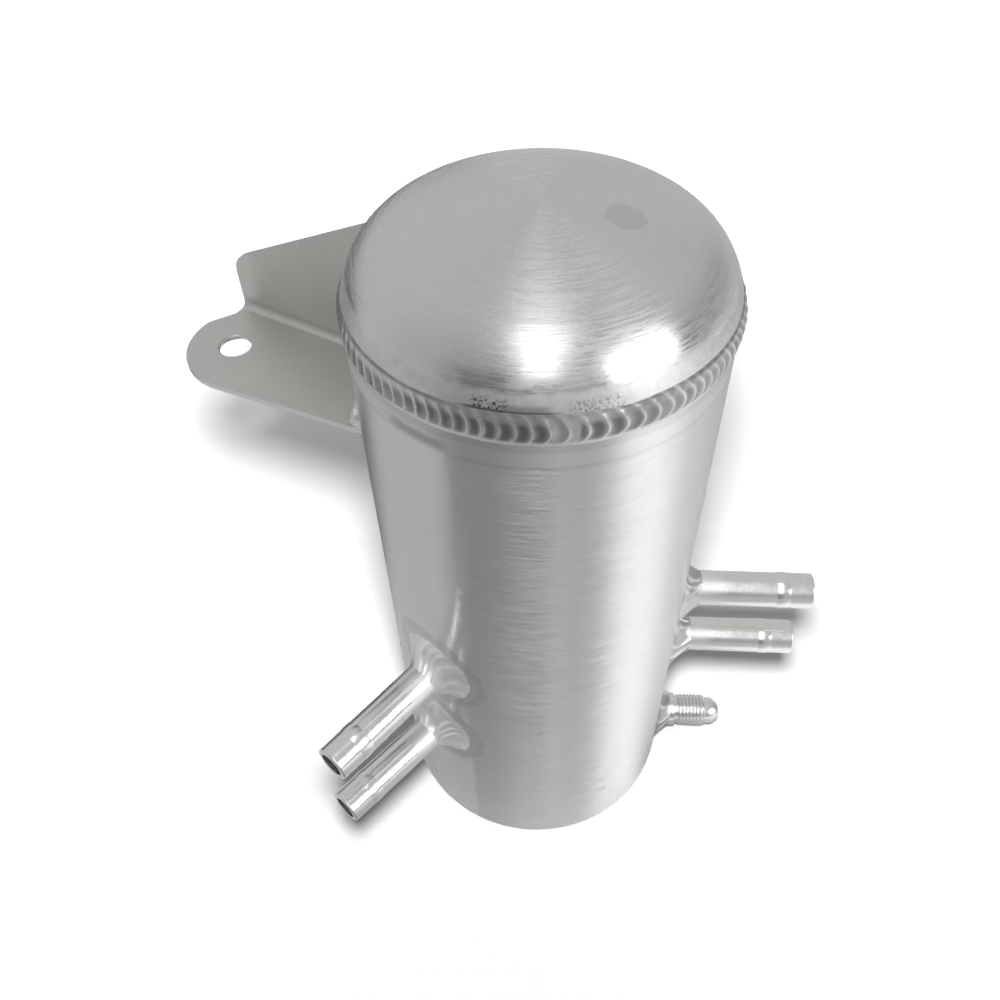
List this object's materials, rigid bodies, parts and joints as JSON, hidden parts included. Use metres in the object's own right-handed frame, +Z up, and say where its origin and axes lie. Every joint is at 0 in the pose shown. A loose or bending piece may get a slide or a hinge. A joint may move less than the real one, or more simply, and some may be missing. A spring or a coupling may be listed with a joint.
{
  "type": "oil catch can",
  "caption": "Welded round can with a dished cap that catches oil from crankcase gas, with hose tails on two sides, a low threaded drain and a folded bracket.",
  "frame": {"origin": "centre of the can's flat bottom face", "axes": "+Z up along the can's axis, -Y to the front, +X to the viewer's right, where the drain and two hose tails are"},
  "size_m": [0.1797, 0.1175, 0.2141],
  "materials": {
    "tube_aluminium": "bare tube, brushed round its girth",
    "cap_aluminium": "bare spun cap, brushed in circles",
    "weld_metal": "rippled weld metal, as laid",
    "tail_aluminium": "turned, bright",
    "bracket_aluminium": "matt mill-finish sheet",
    "plate_aluminium": "plain mill-finish sheet"
  },
  "bodies": {
    "root": {"can_body": "tube_aluminium", "top_cap": "cap_aluminium", "top_weld_bead": "weld_metal", "bottom_plate": "plate_aluminium", "bottom_weld_seam": "weld_metal", "hose_tail_left_upper": "tail_aluminium", "hose_tail_left_lower": "tail_aluminium", "hose_tail_right_upper": "tail_aluminium", "hose_tail_right_lower": "tail_aluminium", "drain_fitting": "tail_aluminium", "weld_left_upper": "weld_metal", "weld_left_lower": "weld_metal", "weld_right_upper": "weld_metal", "weld_right_lower": "weld_metal", "weld_drain": "weld_metal", "bracket": "bracket_aluminium", "weld_bracket_top": "weld_metal", "weld_bracket_under": "weld_metal", "weld_bracket_flange": "weld_metal", "baffle_plate": "plate_aluminium", "baffle_welds": "weld_metal"}
  },
  "joints": []
}
